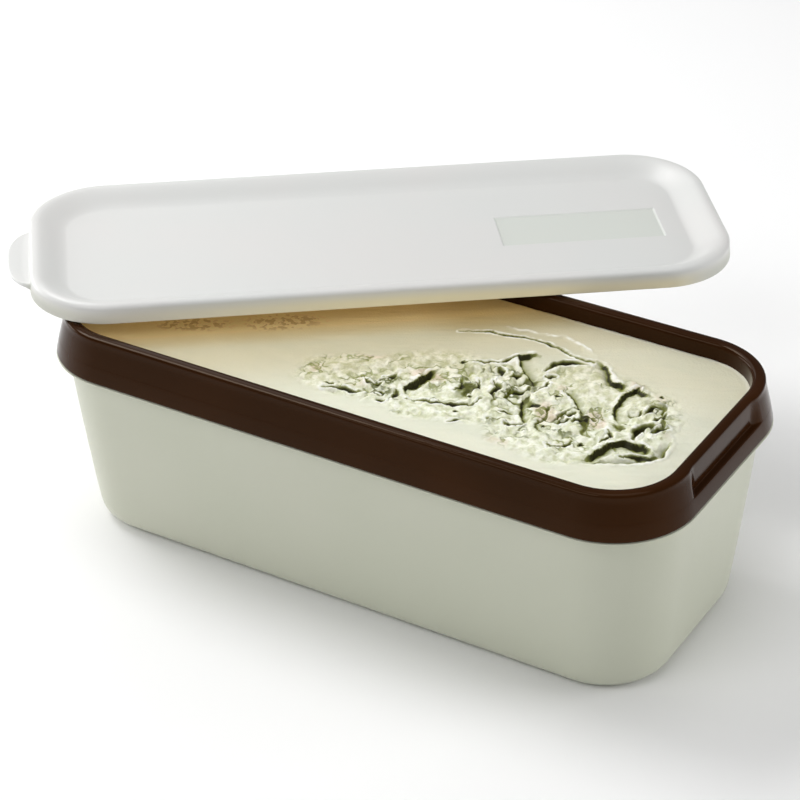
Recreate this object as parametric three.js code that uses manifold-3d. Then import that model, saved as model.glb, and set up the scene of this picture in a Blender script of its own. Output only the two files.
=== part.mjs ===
// Ice cream tub: a long loaf-shaped plastic tub with a glossy brown rim band, filled with
// ice cream that is partly torn up by a scoop, and its lid lying askew across the rim.
// Millimetres, +Z up, origin at the centre of the tub's base. The long axis is X, the
// shown long side faces -Y and the shown short end faces +X.

import * as THREE from 'three';
import { mergeVertices } from 'three/addons/utils/BufferGeometryUtils.js';
import Module from 'manifold-3d';

const wasm = await Module();
wasm.setup();

// Driving dimensions of the tub, along the middle of the rim's crest
const tubHeight = 91;
const crest = { length: 250, width: 112, corner: 26.5 };
const base = { length: 242.7, width: 97, corner: 26.3 };
const baseFillet = 6.8;
const shoulderDrop = 17.4;
const shoulderOut = 1.9;
const wallBow = 0.35;
const bodyWall = 2.4;
const floorThickness = 2.5;
const innerFillet = 4.5;

// The neck of the tub's wall, which stands in the band's slot
const neckInner = -0.85;
const neckOuter = 0.5;
const neckDrop = 4.3;
const neckChamfer = 0.4;

// Driving dimensions of the rim band, as offsets out from the crest's middle and drops below it
const bandDepth = 17.1;
const bandFlare = 6.2;
const crestHalf = 2.6;
const lipDrop = 11.5;
const slotInner = -1.2;
const slotOuter = 0.85;
const slotDrop = 4.0;
const ledgeDrop = 10.6;
const recessHalf = 24;
const recessFade = 6;
const recessBack = 2.3;

// Driving dimensions of the contents
const creamDrop = 7;
const gap = 0.3;
const surfaceGrid = { columns: 78, rows: 40, halfLength: 135, halfWidth: 65, zoneShare: 0.86 };
const markWall = 1.3;
const tornZone = { left: -36, right: 114, front: -44, back: 40 };

// Driving dimensions of the lid and of how it lies on the rim
const lid = { length: 270, width: 104.5, corner: 30.5 };
const lidHeight = 7.4;
const lidSkirt = 5.3;
const skirtDraft = 0.4;
const lidWall = 1.2;
const lidCrestInset = 3;
const lidSlopeEnd = 15;
const lidRecess = 5.4;
const lidTurn = 37.8;
const lidTilt = -0.9;
const lidCentre = { x: -47.74, y: 58.21 };
const lidRise = 0.06;
const tab = { width: 43, reach: 8, thickness: 1.5, low: 1.9, shift: -1.45 };
const tabCurve = { root: 1, shoulder: 6, crown: 14 };
const label = { length: 64, width: 24, depth: 0.5, corner: 1, x: 80, y: -1.05 };

const arcSteps = 9;

const colours = { cream: 0xe9e6d3, body: 0xc3c4b4, band: 0x2c1a10, lid: 0xe2e2de };

// A rounded rectangle, counter-clockwise: each point carries its outward direction.
// Stops are extra points along the two short ends, as distances from their middle.
function outline(size, stops = []) {
  const points = [];
  const halfLength = size.length / 2 - size.corner;
  const halfWidth = size.width / 2 - size.corner;
  const signs = [[1, -1], [1, 1], [-1, 1], [-1, -1]];
  signs.forEach(([sx, sy], corner) => {
    for (let step = 0; step <= arcSteps; step++) {
      const angle = (corner - 1 + step / arcSteps) * Math.PI / 2;
      const out = new THREE.Vector2(Math.cos(angle), Math.sin(angle));
      const at = new THREE.Vector2(sx * halfLength, sy * halfWidth).addScaledVector(out, size.corner);
      points.push({ at, out });
    }
    if (corner === 0 || corner === 2) {
      for (const stop of stops) {
        const at = new THREE.Vector2(sx * size.length / 2, stop * sx);
        points.push({ at, out: new THREE.Vector2(sx, 0) });
      }
    }
  });
  return points;
}

// The rounded rectangle at one height, grown by an offset all round
function ring(size, z, offset = 0) {
  return outline(size).map(({ at, out }) => {
    const moved = at.clone().addScaledVector(out, offset);
    return new THREE.Vector3(moved.x, moved.y, z);
  });
}

// A closed body through rings of equal counts. It runs up the outside and down the inside,
// either round a closed profile or with a flat face on its first and last ring.
function loft(rings, closed = false) {
  const count = rings[0].length;
  const vertices = rings.flat();
  const faces = [];
  const bands = closed ? rings.length : rings.length - 1;
  for (let i = 0; i < bands; i++) {
    const low = i * count;
    const high = ((i + 1) % rings.length) * count;
    for (let j = 0; j < count; j++) {
      const next = (j + 1) % count;
      faces.push(low + j, low + next, high + next, low + j, high + next, high + j);
    }
  }
  if (!closed) {
    const last = (rings.length - 1) * count;
    const middleOf = (points) => points.reduce((sum, p) => sum.add(p), new THREE.Vector3())
      .divideScalar(points.length);
    const bottom = vertices.push(middleOf(rings[0])) - 1;
    const top = vertices.push(middleOf(rings[rings.length - 1])) - 1;
    for (let j = 0; j < count; j++) {
      const next = (j + 1) % count;
      faces.push(bottom, next, j, top, last + j, last + next);
    }
  }
  const geometry = new THREE.BufferGeometry().setFromPoints(vertices);
  geometry.setIndex(faces);
  return geometry;
}

// Solids for cutting and joining, and back again
function solid(geometry) {
  const plain = geometry.clone();
  plain.deleteAttribute('normal');
  plain.deleteAttribute('uv');
  const merged = mergeVertices(plain, 1e-4);
  return new wasm.Manifold(new wasm.Mesh({
    numProp: 3,
    vertProperties: new Float32Array(merged.attributes.position.array),
    triVerts: new Uint32Array(merged.index.array),
  }));
}

function geometryOf(body) {
  const mesh = body.getMesh();
  const geometry = new THREE.BufferGeometry();
  geometry.setAttribute('position', new THREE.BufferAttribute(mesh.vertProperties, 3));
  geometry.setIndex(new THREE.BufferAttribute(mesh.triVerts, 1));
  return geometry;
}

function mix(a, b, t) {
  return a + (b - a) * t;
}

function smooth(low, high, value) {
  const t = THREE.MathUtils.clamp((value - low) / (high - low), 0, 1);
  return t * t * (3 - 2 * t);
}

function blendSizes(a, b, t, grow = 0) {
  return {
    length: mix(a.length, b.length, t) + 2 * grow,
    width: mix(a.width, b.width, t) + 2 * grow,
    corner: mix(a.corner, b.corner, t) + grow,
  };
}

const shoulder = blendSizes(crest, crest, 0, shoulderOut);
const shoulderHeight = tubHeight - shoulderDrop;

// The tapered wall at height z: straight from base to shoulder with a slight bow,
// and drawn in towards the bottom by a quarter-round fillet
function wallRing(z, inset, fillet, floor) {
  const t = z / shoulderHeight;
  const bow = wallBow * 4 * t * (1 - t);
  const above = Math.min(z - floor, fillet);
  const tuck = fillet - Math.sqrt(fillet ** 2 - (fillet - above) ** 2);
  const size = blendSizes(base, shoulder, t, bow - inset - tuck);
  return ring(size, z);
}

function filletHeights(fillet, floor) {
  const steps = [0, 0.04, 0.15, 0.33, 0.6, 1];
  return steps.map((step) => floor + fillet * step);
}

function levels(from, to, count) {
  return Array.from({ length: count }, (_, i) => mix(from, to, (i + 1) / count));
}

function tubBody() {
  const outer = [...filletHeights(baseFillet, 0), ...levels(baseFillet, shoulderHeight, 4)]
    .map((z) => wallRing(z, 0, baseFillet, 0));
  const neckTop = tubHeight - neckDrop;
  const neck = [
    ring(crest, shoulderHeight, neckOuter),
    ring(crest, neckTop - neckChamfer, neckOuter),
    ring(crest, neckTop, neckOuter - neckChamfer),
    ring(crest, neckTop, neckInner),
    ring(crest, shoulderHeight, neckInner),
  ];
  const innerFloor = floorThickness + innerFillet;
  const inner = [...filletHeights(innerFillet, floorThickness), ...levels(innerFloor, shoulderHeight - 8, 3)]
    .map((z) => wallRing(z, bodyWall, innerFillet, floorThickness))
    .reverse();
  return loft([...outer, ...neck, ...inner]);
}

// The band's section: pairs of offset and drop, up the outside, over the crest, down the
// inner lip, and round the slot that the tub's neck stands in. On the short ends the upper
// part of the outside is cut back to an upright face above a ledge, by a share from 0 to 1.
function bandSection(recess) {
  const edgeDrop = bandDepth - 0.7;
  const faceTop = 2.6;
  const onFace = (drop) => mix(crestHalf, bandFlare, (drop - faceTop) / (edgeDrop - faceTop));
  const cut = (plain, cutBack) => mix(plain, cutBack, recess);
  return [
    [slotOuter, bandDepth],
    [bandFlare - 0.7, bandDepth],
    [bandFlare, edgeDrop],
    [onFace(ledgeDrop + 0.8), ledgeDrop + 0.8],
    [cut(onFace(ledgeDrop + 0.2), onFace(ledgeDrop) - 0.4), ledgeDrop + 0.2],
    [cut(onFace(ledgeDrop), recessBack), ledgeDrop],
    [cut(onFace(ledgeDrop - 0.7), recessBack - 0.25), ledgeDrop - 0.7],
    [cut(crestHalf, 1.95), faceTop],
    [cut(2.42, 1.8), 1.6],
    [cut(1.85, 1.4), 0.7],
    [cut(0.9, 0.75), 0.15],
    [-0.3, 0],
    [-1.4, 0.25],
    [-2.2, 0.95],
    [-crestHalf, 2.2],
    [-crestHalf, lipDrop - 0.5],
    [-crestHalf + 0.4, lipDrop],
    [slotInner, lipDrop],
    [slotInner, slotDrop],
    [slotOuter, slotDrop],
  ];
}

function rimBand() {
  const straight = crest.width / 2 - crest.corner;
  const stops = [-0.93, -0.86, -0.78, 0, 0.78, 0.86, 0.93].map((share) => share * straight);
  const around = outline(crest, stops);
  const sections = around.map(({ at }) => {
    const onEnd = Math.abs(at.x) > crest.length / 2 - 0.01;
    const share = 1 - smooth(recessHalf - 1, recessHalf + recessFade - 1, Math.abs(at.y));
    return bandSection(onEnd ? share : 0);
  });
  const rings = sections[0].map((_, k) => around.map(({ at, out }, j) => {
    const [offset, drop] = sections[j][k];
    const moved = at.clone().addScaledVector(out, offset);
    return new THREE.Vector3(moved.x, moved.y, tubHeight - drop);
  }));
  return loft(rings, true);
}

// Steady pseudo-random values, and a smooth noise made of them
function chance(i, j, seed) {
  const value = Math.sin(i * 127.1 + j * 311.7 + seed * 74.7) * 43758.5453;
  return value - Math.floor(value);
}

function noise(x, y, seed) {
  const i = Math.floor(x);
  const j = Math.floor(y);
  const u = smooth(0, 1, x - i);
  const v = smooth(0, 1, y - j);
  const low = mix(chance(i, j, seed), chance(i + 1, j, seed), u);
  const high = mix(chance(i, j + 1, seed), chance(i + 1, j + 1, seed), u);
  return mix(low, high, v) * 2 - 1;
}

// The torn zone is the union of three leaning ovals: centre, half sizes and lean in degrees
const tornOvals = [
  { x: 72, y: -6, a: 40, b: 33, lean: 0 },
  { x: 27, y: -11, a: 44, b: 25, lean: 18 },
  { x: -8, y: -21, a: 27, b: 15, lean: 20 },
];

// Scoop marks: a path on the surface, the depth at its steep wall and the width of the
// ramp that rises from it. The ramp lies to the left of the path, or to the right if negative.
const scoopMarks = [
  { path: [[9, 25], [25, 33], [40, 36.5], [52, 35], [62, 29]], depth: 2.6, ramp: -8 },
  { path: [[61, 29], [66, 29], [72, 23], [77, 19], [81, 21]], depth: 3.2, ramp: -5 },
  { path: [[49, 15], [51, 22], [60, 27]], depth: 4.2, ramp: -4.5 },
  { path: [[42, 25], [37, 21], [39, 15], [45, 9], [50, 3], [54, 7]], depth: 3.6, ramp: 3.5 },
  { path: [[10, -21], [15.5, -6]], depth: 5, ramp: -4 },
  { path: [[16, -27], [25, -24], [38, -18], [38, -13]], depth: 2.6, ramp: 4.5 },
  { path: [[-15, -37], [-10, -32], [-1, -31]], depth: 2.6, ramp: 4 },
  { path: [[50, -6], [58, -18], [54, -25]], depth: 4.6, ramp: 3.5 },
  { path: [[62, 9], [73, -3], [80, -7], [89, -9]], depth: 3.4, ramp: 4 },
];

// Round pits: centre, half sizes, lean in degrees and depth
const pits = [
  { x: 88, y: 5, a: 14, b: 5.5, lean: 68, depth: 4.6 },
  { x: 99, y: -19, a: 12, b: 4.5, lean: 38, depth: 6.5 },
  { x: 98, y: -5, a: 5, b: 3.6, lean: 60, depth: 6.2 },
  { x: 104, y: 2, a: 3.8, b: 3, lean: 50, depth: 4.6 },
  { x: 97, y: 13, a: 5, b: 3, lean: 75, depth: 4 },
  { x: 55, y: 6, a: 4, b: 3, lean: 20, depth: 3.4 },
];

function ovalShare(oval, x, y) {
  const lean = THREE.MathUtils.degToRad(oval.lean);
  const along = (x - oval.x) * Math.cos(lean) + (y - oval.y) * Math.sin(lean);
  const across = (y - oval.y) * Math.cos(lean) - (x - oval.x) * Math.sin(lean);
  return Math.hypot(along / oval.a, across / oval.b);
}

function tornShare(x, y) {
  const share = Math.min(...tornOvals.map((oval) => ovalShare(oval, x, y)));
  return 1 - smooth(0.86, 1.04, share + 0.06 * noise(x / 9, y / 9, 5));
}

// Signed distance to the path, positive on its left
function pathDistance(path, x, y) {
  let best = Infinity;
  let side = 1;
  for (let k = 0; k + 1 < path.length; k++) {
    const [ax, ay] = path[k];
    const dx = path[k + 1][0] - ax;
    const dy = path[k + 1][1] - ay;
    const t = THREE.MathUtils.clamp(((x - ax) * dx + (y - ay) * dy) / (dx * dx + dy * dy), 0, 1);
    const away = Math.hypot(x - ax - t * dx, y - ay - t * dy);
    if (away < best) {
      best = away;
      side = Math.sign(dx * (y - ay) - dy * (x - ax)) || 1;
    }
  }
  return best * side;
}

function markDepth(mark, x, y) {
  const across = pathDistance(mark.path, x, y) * Math.sign(mark.ramp);
  const share = across >= 0 ? 1 - across / Math.abs(mark.ramp) : 1 + across / markWall;
  return mark.depth * Math.max(0, share);
}

// Broken plates of ice cream: each cell of a jittered grid keeps one height and one tilt
function plates(x, y) {
  const cell = 9;
  let nearest = Infinity;
  let height = 0;
  for (let i = Math.floor(x / cell) - 1; i <= Math.floor(x / cell) + 1; i++) {
    for (let j = Math.floor(y / cell) - 1; j <= Math.floor(y / cell) + 1; j++) {
      const cx = (i + chance(i, j, 1)) * cell;
      const cy = (j + chance(i, j, 2)) * cell;
      const away = Math.hypot(x - cx, y - cy);
      if (away < nearest) {
        nearest = away;
        const tilt = (x - cx) * (chance(i, j, 3) - 0.5) + (y - cy) * (chance(i, j, 4) - 0.5);
        height = 1.5 * (chance(i, j, 6) - 0.5) + 0.26 * tilt;
      }
    }
  }
  return height;
}

function creamHeight(x, y) {
  const torn = tornShare(x, y);
  const calm = 0.25 * noise(x / 34, y / 13, 7);
  const lumps = plates(x, y) + 0.7 * noise(x / 5, y / 5, 8) - 0.3;
  let cut = 0;
  for (const mark of scoopMarks) {
    cut = Math.max(cut, markDepth(mark, x, y));
  }
  for (const pit of pits) {
    cut = Math.max(cut, pit.depth * Math.max(0, 1 - ovalShare(pit, x, y) ** 2));
  }
  return tubHeight - creamDrop + calm + torn * lumps - cut;
}

// Grid lines stand close together over the torn zone and wide apart elsewhere
function spread(share, low, zoneLow, zoneHigh, high, zoneShare) {
  const side = (1 - zoneShare) / 2;
  if (share < side) {
    return mix(low, zoneLow, share / side);
  }
  if (share > 1 - side) {
    return mix(zoneHigh, high, (share - 1 + side) / side);
  }
  return mix(zoneLow, zoneHigh, (share - side) / zoneShare);
}

function iceCream() {
  const hollowTop = tubHeight - lipDrop;
  const sunk = bodyWall + gap;
  const floor = floorThickness + gap;
  const wallHeights = levels(floor + innerFillet, shoulderHeight - 9, 2);
  const rings = [...filletHeights(innerFillet, floor), ...wallHeights]
    .map((z) => wallRing(z, sunk, innerFillet, floor));
  rings.push(ring(crest, shoulderHeight, neckInner - gap));
  rings.push(ring(crest, hollowTop - 0.6, neckInner - gap));
  rings.push(ring(crest, hollowTop - 0.2, -crestHalf - gap));
  rings.push(ring(crest, tubHeight, -crestHalf - gap));
  const { columns, rows, halfLength, halfWidth, zoneShare } = surfaceGrid;
  const slab = new THREE.BoxGeometry(1, 1, 1, columns, rows, 1);
  const at = slab.attributes.position;
  for (let k = 0; k < at.count; k++) {
    const x = spread(at.getX(k) + 0.5, -halfLength, tornZone.left, tornZone.right, halfLength, zoneShare);
    const y = spread(at.getY(k) + 0.5, -halfWidth, tornZone.front, tornZone.back, halfWidth, zoneShare);
    const z = at.getZ(k) > 0 ? creamHeight(x, y) : -floor;
    at.setXYZ(k, x, y, z);
  }
  return geometryOf(solid(loft(rings)).intersect(solid(slab)));
}

// The lid's section: pairs of inset from its outer edge and height above its lower edge.
// It runs out along the underside, up the skirt, over the crest and down into the panel.
function lidSection() {
  const topPoints = [0, 22, 44, 66, 90].map((degrees) => {
    const angle = THREE.MathUtils.degToRad(degrees);
    const inset = mix(lidCrestInset, skirtDraft, Math.cos(angle));
    return [inset, mix(lidSkirt, lidHeight, Math.sin(angle))];
  });
  const slope = [0.08, 0.25, 0.45, 0.65, 0.85, 1].map((share) => {
    const drop = lidRecess * smooth(0, 1, share);
    return [mix(lidCrestInset, lidSlopeEnd, share), lidHeight - drop];
  });
  const under = [...topPoints.slice(1), ...slope]
    .map(([inset, z]) => [Math.max(inset, lidWall + skirtDraft), z - lidWall])
    .reverse();
  const innerSkirt = [[lidWall + skirtDraft, lidSkirt - lidWall], [lidWall, 0]];
  return [...under, ...innerSkirt, [0, 0], ...topPoints, ...slope];
}

function lidShell() {
  const rings = lidSection().map(([inset, z]) => ring(lid, z, -inset));
  const shell = solid(loft(rings));
  const tabShape = new THREE.Shape();
  const end = -lid.length / 2;
  const root = end + tabCurve.root;
  const tip = end - tab.reach;
  const bend = end - tabCurve.shoulder;
  const [low, middle, high] = [-1, 0, 1].map((side) => tab.shift + side * tab.width / 2);
  tabShape.moveTo(root, low);
  tabShape.lineTo(root, high);
  tabShape.bezierCurveTo(bend, high, tip, middle + tabCurve.crown, tip, middle);
  tabShape.bezierCurveTo(tip, middle - tabCurve.crown, bend, low, root, low);
  const depths = { depth: tab.thickness, bevelEnabled: false, curveSegments: 10 };
  const tongue = new THREE.ExtrudeGeometry(tabShape, depths);
  tongue.translate(0, 0, tab.low);
  const labelShape = new THREE.Shape(outline(label).map(({ at }) => at));
  const pocket = new THREE.ExtrudeGeometry(labelShape, { depth: label.depth + 1, bevelEnabled: false });
  pocket.translate(label.x, label.y, lidHeight - lidRecess - label.depth);
  return geometryOf(shell.add(solid(tongue)).subtract(solid(pocket)));
}

function piece(name, geometry, colour, roughness) {
  const material = new THREE.MeshStandardMaterial({ color: colour, roughness, metalness: 0 });
  const mesh = new THREE.Mesh(geometry, material);
  mesh.name = name;
  return mesh;
}

const tub = new THREE.Group();
tub.add(piece('tub_body', tubBody(), colours.body, 0.55));
tub.add(piece('rim_band', rimBand(), colours.band, 0.15));
tub.add(piece('ice_cream', iceCream(), colours.cream, 0.7));

// The lid tips about its long axis and turns about the upright, resting on the rim
const restingLid = new THREE.Group();
const lidMesh = piece('lid', lidShell(), colours.lid, 0.45);
lidMesh.rotation.x = THREE.MathUtils.degToRad(lidTilt);
restingLid.rotation.z = THREE.MathUtils.degToRad(lidTurn);
restingLid.position.set(lidCentre.x, lidCentre.y, tubHeight + lidRise);
restingLid.add(lidMesh);
tub.add(restingLid);

export default tub;
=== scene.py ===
# The looks of an ice cream tub: a satin plastic tub with a glossy brown rim band, filled with
# ice cream that a scoop has torn up, and its off-white lid lying askew across the rim.
# Shapes are worked out in millimetres and go into the meshes in metres.

import math

import bpy
import numpy as np
from mathutils import Matrix, Vector


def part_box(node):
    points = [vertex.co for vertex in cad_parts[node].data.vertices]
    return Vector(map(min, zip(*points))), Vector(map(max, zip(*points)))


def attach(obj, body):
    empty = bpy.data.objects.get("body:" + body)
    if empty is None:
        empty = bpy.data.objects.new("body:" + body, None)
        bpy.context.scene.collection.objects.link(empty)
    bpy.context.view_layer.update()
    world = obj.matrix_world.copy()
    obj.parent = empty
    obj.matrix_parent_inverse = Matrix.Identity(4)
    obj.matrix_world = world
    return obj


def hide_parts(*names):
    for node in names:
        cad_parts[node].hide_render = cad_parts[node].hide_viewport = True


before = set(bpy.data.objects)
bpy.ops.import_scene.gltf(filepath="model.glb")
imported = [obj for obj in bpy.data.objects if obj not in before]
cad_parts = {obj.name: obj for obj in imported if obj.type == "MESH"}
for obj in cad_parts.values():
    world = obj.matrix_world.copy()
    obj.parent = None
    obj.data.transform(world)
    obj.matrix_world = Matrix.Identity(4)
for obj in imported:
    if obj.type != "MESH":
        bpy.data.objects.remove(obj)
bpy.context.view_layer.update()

MM = 0.001

# Sizes read from the frame
BAND_LOW, BAND_HIGH = (np.array(corner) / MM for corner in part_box("rim_band"))
BODY_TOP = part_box("tub_body")[1].z / MM
TUB_HEIGHT = BAND_HIGH[2]

# The band's section: offsets out from the middle of the rim's crest, and drops below it
BAND_FLARE = 6.2
BAND_DEPTH = TUB_HEIGHT - BAND_LOW[2]
CREST_HALF = 2.6
INNER_DROP = 11.5
SLOT_INNER = -1.2
SLOT_OUTER = 0.85
SLOT_DROP = 4.0
LEDGE_DROP = 10.6
FACE_TOP = 2.6
FACE_FOOT = BAND_DEPTH - 0.7

# The cut-back grip on each short end: half its width, and how far it takes to fade out
RECESS_HALF = 23.0
RECESS_FADE = 6.0

# Length, width and corner radius of an outline change by this for each unit of its offset
OFFSET = np.array([2, 2, 1])

# The rim's crest in plan, and the foot of the tub: length, width and corner radius
CREST = np.array([2 * (BAND_HIGH[0] - BAND_FLARE), 2 * (BAND_HIGH[1] - BAND_FLARE), 26.5])
BASE = np.array([242.7, 97.0, 26.3])

# The tub's wall: its shoulder under the band, its rounded foot, its bow, and its thicknesses
SHOULDER_DROP = 17.4
SHOULDER_OUT = 1.9
SHOULDER_HEIGHT = TUB_HEIGHT - SHOULDER_DROP
BASE_FILLET = 6.8
WALL_BOW = 0.35
BODY_WALL = 2.4
FLOOR = 2.5
INNER_FILLET = 4.5

# The tub's neck inside the band, and the fine lip that shows under the band
NECK_INNER = -0.85
NECK_OUTER = 0.5
NECK_CHAMFER = 0.3
LIP_REACH = BAND_FLARE + 0.05

# The contents: how far they stand below the crest, the outline of their top, and their gap to
# the tub. Most lines of the grid over the top lie in the torn zone.
CREAM_DROP = 7.0
CREAM_TOP = CREST - OFFSET * (CREST_HALF - 0.15)
GAP = 0.3
GRID_COLUMNS = 430
GRID_ROWS = 208
ZONE_X = (-36, 114)
ZONE_Y = (-44, 40)
ZONE_COLUMNS = 0.86
ZONE_ROWS = 0.88

# The lid: length, width and corner radius of its lower edge, its section, and how it lies
LID = np.array([270.0, 104.5, 30.5])
LID_HEIGHT = 7.4
LID_SKIRT = 5.3
SKIRT_DRAFT = 0.4
LID_WALL = 1.2
LID_CREST_INSET = 3.0
LID_SLOPE_END = 15.0
LID_RECESS = 5.4
PANEL_SEAM = 1.5
SHOULDER_STEPS = 14
SLOPE_STEPS = 22
LID_TURN = 37.8
LID_TILT = -0.9
LID_CENTRE = np.array([-47.74, 58.21, TUB_HEIGHT + 0.06])
TAB_WIDTH = 43.0
TAB_REACH = 8.0
TAB_SHIFT = -1.45
TAB_LOW = 1.9
TAB_HIGH = 3.4
LABEL_SIZE = np.array([64.0, 24.0])
LABEL_PLACE = np.array([80.0, -1.05])
LABEL_DEPTH = 0.5
LABEL_EDGE = 0.5

# The photograph's camera, fitted to the tub's outlines
VIEW_AZIMUTH = 30.66
VIEW_ELEVATION = 31.62
VIEW_ROLL = -0.19
VIEW_DISTANCE = 1000.5
VIEW_AIM = 38.8
VIEW_SHIFT = (-2.77, 21.8)
LENS = 119.25

# The studio in metres: half the floor's side, its grey, and the dome's greys low down, high
# up, in reflections and behind everything
FLOOR_HALF = 3.0
FLOOR_GREY = 0.94
DOME_LOW = 0.53
DOME_HIGH = 0.17
DOME_MIRRORED = 0.16
BACKDROP = 1.0

# The studio's lamps: name, place, size, power, and whether glossy surfaces mirror them
LAMPS = [
    ("high_left", (-0.8, 0.1, 1.15), (0.6, 0.6), 8.2, True),
    ("back_left", (-0.9, 0.6, 1.0), (0.9, 0.9), 3.0, True),
    ("top", (0.1, 0.15, 1.4), (1.0, 0.8), 3.2, True),
    ("front_high", (-0.2, -1.0, 1.1), (1.0, 0.6), 5.4, True),
    ("left_low", (-1.2, 0.0, 0.3), (0.8, 0.4), 5.1, True),
    ("right_low", (1.0, 0.55, 0.35), (0.7, 0.5), 4.6, False),
]
LAMP_TARGET = (0, 0, 0.05)


def mix(low, high, share):
    """Straight from low to high by a share from 0 to 1."""
    return low + (high - low) * share


def smooth(low, high, value):
    """Smooth step: 0 up to low and 1 from high on, with level ends. Low may be the larger,
    and then it falls from 1 to 0 as the value rises."""
    share = np.clip((value - low) / (high - low), 0.0, 1.0)
    return share * share * (3 - 2 * share)


def unit(vector):
    """The vector's direction, with length 1."""
    return vector / np.linalg.norm(vector)


# Plan outlines and the surfaces through them
def outline(size, arc=16, along=24, across=18):
    """Points and outward directions, counter-clockwise round a rectangle with round corners.
    Each corner is a quarter circle in equal steps, and the sides between are divided evenly."""
    length, width, corner = size
    half = np.array([length / 2 - corner, width / 2 - corner])
    signs = np.array([[1, -1], [1, 1], [-1, 1], [-1, -1]])
    points, outs = [], []
    for k, sign in enumerate(signs):
        angle = (k - 1 + np.linspace(0, 1, arc + 1)) * math.pi / 2
        out = np.stack([np.cos(angle), np.sin(angle)], 1)
        points.append(sign * half + corner * out)
        outs.append(out)
        share = np.linspace(0, 1, (across if k % 2 == 0 else along) + 2)[1:-1, None]
        end = signs[(k + 1) % 4] * half + corner * out[-1]
        points.append(mix(points[-1][-1], end, share))
        outs.append(np.repeat(out[-1:], len(share), 0))
    return np.concatenate(points), np.concatenate(outs)


def rings(at, out, section):
    """A grid of points: each row of the section is an offset along the outward direction and
    a height, each a number or one value for every point of the outline."""
    section = section.reshape(*section.shape[:2], -1)
    offset, height = section[:, 0], section[:, 1]
    flat = at + offset[..., None] * out
    tall = np.broadcast_to(height, flat.shape[:2])[..., None]
    return np.concatenate([flat, tall], 2)


def soften(points, radii, steps):
    """Rounds each vertex of a section by a curve between points one radius away on both sides:
    (1 - t)^2 before + 2 t (1 - t) vertex + t^2 after, with t from 0 to 1. The section's points
    are (offset, height) pairs, each one value or one for every point of the outline."""
    before = np.roll(points, 1, 0) - points
    after = np.roll(points, -1, 0) - points
    radius = np.array(radii, float).reshape(-1, *[1] * (points.ndim - 1))
    t = np.linspace(0, 1, steps).reshape(-1, *[1] * points.ndim)

    def reach(step):
        size = np.linalg.norm(step, axis=1, keepdims=True)
        return points + step * np.minimum(radius / np.maximum(size, 1e-6), 0.5)

    curve = (1 - t) ** 2 * reach(before) + 2 * t * (1 - t) * points + t ** 2 * reach(after)
    return np.moveaxis(curve, 0, 1).reshape(-1, *points.shape[1:])


def ring_faces(row_count, count, closed=False):
    """Quads between neighbouring rings, outward when the rings run counter-clockwise and up.
    A closed section's last ring is joined to its first."""
    rows = np.arange(row_count if closed else row_count - 1)[:, None]
    here = np.arange(count)[None]
    low = rows * count
    high = (rows + 1) % row_count * count
    step = (here + 1) % count
    quads = np.stack([low + here, low + step, high + step, high + here], 2)
    return quads.reshape(-1, 4)


def spread(steps, half, zone, zone_share):
    """Places from -half to half, of which the share falls between the zone's two ends."""
    side = (1 - zone_share) / 2
    return np.interp(np.linspace(0, 1, steps + 1), [0, side, 1 - side, 1], [-half, *zone, half])


def halves(size):
    """Half the length, half the width and the corner radius of an outline."""
    return size[0] / 2, size[1] / 2, size[2]


def filled_outline(columns, rows, size):
    """A grid over a rectangle with round corners: each row is as long as the outline is there,
    with its columns spaced in proportion."""
    half_length, half_width, corner = halves(size)
    into = np.maximum(np.abs(rows) - (half_width - corner), 0)
    reach = half_length - corner + np.sqrt(np.maximum(corner ** 2 - into ** 2, 0))
    return columns / half_length * reach[:, None], np.repeat(rows[:, None], len(columns), 1)


def grid_faces(points):
    """The numbers of a grid's points in order, and the quads between them, facing up."""
    index = np.arange(points.shape[0] * points.shape[1]).reshape(points.shape[:2])
    quads = np.stack([index[:-1, :-1], index[:-1, 1:], index[1:, 1:], index[1:, :-1]], 2)
    return index, quads.reshape(-1, 4)


def border_of(grid):
    """The four edges of a grid as one counter-clockwise loop, without repeats."""
    return np.concatenate([grid[0, :-1], grid[:-1, -1], grid[-1, :0:-1], grid[:0:-1, 0]])


def make_piece(name, vertices, quads, triangles=()):
    """Puts points in millimetres and their faces into a new shaded mesh object in metres."""
    triangles = np.asarray(triangles, int).reshape(-1, 3)
    mesh = bpy.data.meshes.new(name)
    mesh.vertices.add(len(vertices))
    mesh.vertices.foreach_set("co", (np.asarray(vertices) * MM).astype(np.float32).ravel())
    corners = np.concatenate([np.asarray(quads).ravel(), triangles.ravel()])
    counts = np.concatenate([np.full(len(quads), 4), np.full(len(triangles), 3)])
    starts = np.concatenate([[0], np.cumsum(counts)[:-1]])
    mesh.loops.add(len(corners))
    mesh.loops.foreach_set("vertex_index", corners.astype(np.int32))
    mesh.polygons.add(len(counts))
    mesh.polygons.foreach_set("loop_start", starts.astype(np.int32))
    mesh.update(calc_edges=True)
    mesh.validate()
    mesh.shade_smooth()
    piece = bpy.data.objects.new(name, mesh)
    bpy.context.scene.collection.objects.link(piece)
    return piece


def fan(ring_start, count, pole, upward):
    """Triangles from a ring to its pole, facing up or down."""
    here = np.arange(count)
    step = (here + 1) % count
    first, second = (here, step) if upward else (step, here)
    return np.stack([np.full(count, pole), ring_start + first, ring_start + second], 1)


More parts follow.
